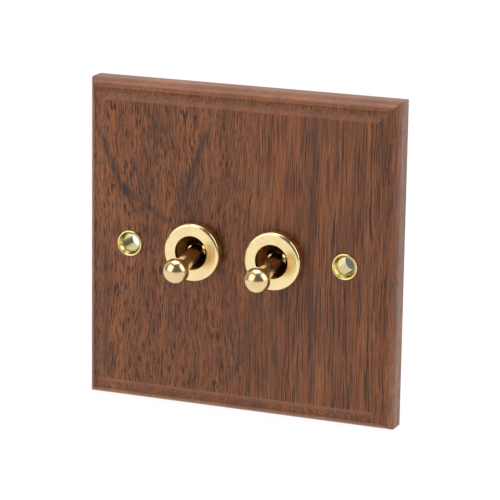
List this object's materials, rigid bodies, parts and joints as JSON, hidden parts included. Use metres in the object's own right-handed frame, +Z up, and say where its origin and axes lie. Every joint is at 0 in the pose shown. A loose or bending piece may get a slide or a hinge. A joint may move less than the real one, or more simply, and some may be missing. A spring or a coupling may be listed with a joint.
{
  "type": "toggle wall switch",
  "caption": "Square moulded walnut wall plate with two brass ball-tipped toggle levers in round bezel rings, brass-lined fixing holes and screw-terminal switch modules behind.",
  "frame": {"origin": "centre of the plate's back, on the wall's surface", "axes": "+X to the right, +Y into the wall, +Z up"},
  "size_m": [0.086, 0.0498, 0.086],
  "materials": {
    "walnut": "satin lacquer over open grain",
    "eyelet_brass": "bright plated",
    "polished_brass": "turned and polished",
    "neck_brass": "machined",
    "terminal_brass": "sawn and plated",
    "contact_brass": "stamped strip",
    "silver": "bright contact silver",
    "zinc_steel": "zinc plated",
    "spring_steel": "drawn wire",
    "nylon": "moulded",
    "fibre": "vulcanised fibre",
    "black_phenolic": "moulded phenolic"
  },
  "bodies": {
    "base": {"wood_plate": "walnut", "left_eyelet": "eyelet_brass", "right_eyelet": "eyelet_brass", "mounting_yoke": "zinc_steel", "yoke_wood_screws": "zinc_steel", "earth_clamp": "terminal_brass", "earth_screw": "zinc_steel", "left_bezel_ring": "polished_brass", "left_ring_washer": "fibre", "left_threaded_neck": "neck_brass", "left_pivot_pin": "zinc_steel", "left_upper_contact": "silver", "left_upper_terminal": "terminal_brass", "left_lower_contact": "silver", "left_lower_terminal": "terminal_brass", "left_common_terminal": "terminal_brass", "left_terminal_screws": "zinc_steel", "left_housing": "black_phenolic", "left_frame_screws": "zinc_steel", "left_rear_cover": "black_phenolic", "left_cover_screws": "zinc_steel", "right_bezel_ring": "polished_brass", "right_ring_washer": "fibre", "right_threaded_neck": "neck_brass", "right_pivot_pin": "zinc_steel", "right_upper_contact": "silver", "right_upper_terminal": "terminal_brass", "right_lower_contact": "silver", "right_lower_terminal": "terminal_brass", "right_common_terminal": "terminal_brass", "right_terminal_screws": "zinc_steel", "right_housing": "black_phenolic", "right_frame_screws": "zinc_steel", "right_rear_cover": "black_phenolic", "right_cover_screws": "zinc_steel"},
    "left_lever": {"left_dolly_lever": "polished_brass", "left_actuator": "nylon", "left_plunger_spring": "spring_steel"},
    "left_plunger": {"left_plunger": "terminal_brass"},
    "left_rocker": {"left_rocker_contact": "contact_brass", "left_rocker_tips": "silver"},
    "right_lever": {"right_dolly_lever": "polished_brass", "right_actuator": "nylon", "right_plunger_spring": "spring_steel"},
    "right_plunger": {"right_plunger": "terminal_brass"},
    "right_rocker": {"right_rocker_contact": "contact_brass", "right_rocker_tips": "silver"}
  },
  "joints": [
    {"name": "left_lever_tilt", "type": "hinge", "parent": "base", "child": "left_lever", "pos_m": [-0.01125, -0.006, 0], "axis": [-1, 0, 0], "range_deg": [0, 19]},
    {"name": "left_plunger_slide", "type": "slide", "parent": "left_lever", "child": "left_plunger", "axis": [0, -0.9863, -0.165], "range_m": [0, 0.0008], "stiffness_N_per_m": 600, "springref_m": -0.001, "deforming": ["left_plunger_spring"]},
    {"name": "left_rocker_tilt", "type": "hinge", "parent": "base", "child": "left_rocker", "pos_m": [-0.01125, 0.0136, 0], "axis": [1, 0, 0], "range_deg": [0, 24]},
    {"name": "right_lever_tilt", "type": "hinge", "parent": "base", "child": "right_lever", "pos_m": [0.01125, -0.006, 0], "axis": [-1, 0, 0], "range_deg": [0, 19]},
    {"name": "right_plunger_slide", "type": "slide", "parent": "right_lever", "child": "right_plunger", "axis": [0, -0.9863, -0.165], "range_m": [0, 0.0008], "stiffness_N_per_m": 600, "springref_m": -0.001, "deforming": ["right_plunger_spring"]},
    {"name": "right_rocker_tilt", "type": "hinge", "parent": "base", "child": "right_rocker", "pos_m": [0.01125, 0.0136, 0], "axis": [1, 0, 0], "range_deg": [0, 24]}
  ],
  "couplings": [
    {"joint": "left_rocker_tilt", "follows": "left_lever_tilt", "ratio": 1.2632},
    {"joint": "right_rocker_tilt", "follows": "right_lever_tilt", "ratio": 1.2632}
  ]
}
